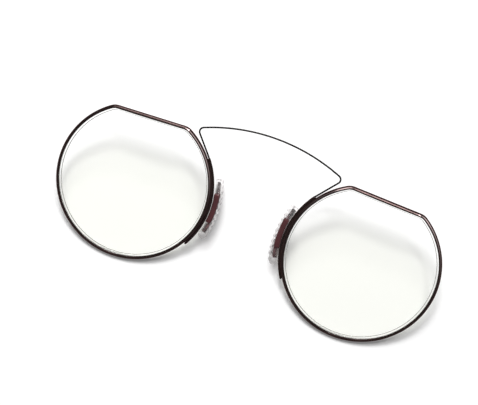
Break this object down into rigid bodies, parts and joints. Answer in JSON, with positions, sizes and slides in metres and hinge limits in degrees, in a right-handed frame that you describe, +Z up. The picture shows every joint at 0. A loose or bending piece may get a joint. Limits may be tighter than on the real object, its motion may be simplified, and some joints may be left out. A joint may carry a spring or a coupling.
{
  "type": "pince-nez reading glasses",
  "caption": "Armless reading glasses that pinch the nose: round rims with flat brows, a springy wire bridge and clear ribbed nose pads.",
  "frame": {"origin": "on the surface the glasses lie on, under the middle of their box", "axes": "+X along the line of the lens centres, +Y towards the flat brows, +Z up from the surface"},
  "size_m": [0.1028, 0.0416, 0.0145],
  "materials": {
    "rim_lacquer": "glossy dark brown lacquer over metal",
    "bracket_lacquer": "satin burgundy lacquer over metal",
    "lens_resin": "clear polished resin",
    "silicone": "clear milky silicone",
    "wire_black": "blackened spring wire",
    "screw_steel": "plain small screw"
  },
  "bodies": {
    "left_half": {"rim_left": "rim_lacquer", "lens_left": "lens_resin", "wire_tube_left": "rim_lacquer", "pad_bracket_left": "bracket_lacquer", "nose_pad_left": "silicone", "rim_lug_upper_left": "rim_lacquer", "rim_lug_lower_left": "rim_lacquer", "rim_lock_screw_left": "screw_steel", "bridge_wire": "wire_black"},
    "right_half": {"rim_right": "rim_lacquer", "lens_right": "lens_resin", "wire_tube_right": "rim_lacquer", "pad_bracket_right": "bracket_lacquer", "nose_pad_right": "silicone", "rim_lug_upper_right": "rim_lacquer", "rim_lug_lower_right": "rim_lacquer", "rim_lock_screw_right": "screw_steel"}
  },
  "joints": [
    {"name": "bridge_flex", "type": "hinge", "parent": "left_half", "child": "right_half", "pos_m": [0, 0.01949, 0.01386], "axis": [0, -0.3124, 0.95], "range_deg": [-8, 20], "stiffness_Nm_per_rad": 0.006, "deforming": ["bridge_wire"]}
  ]
}
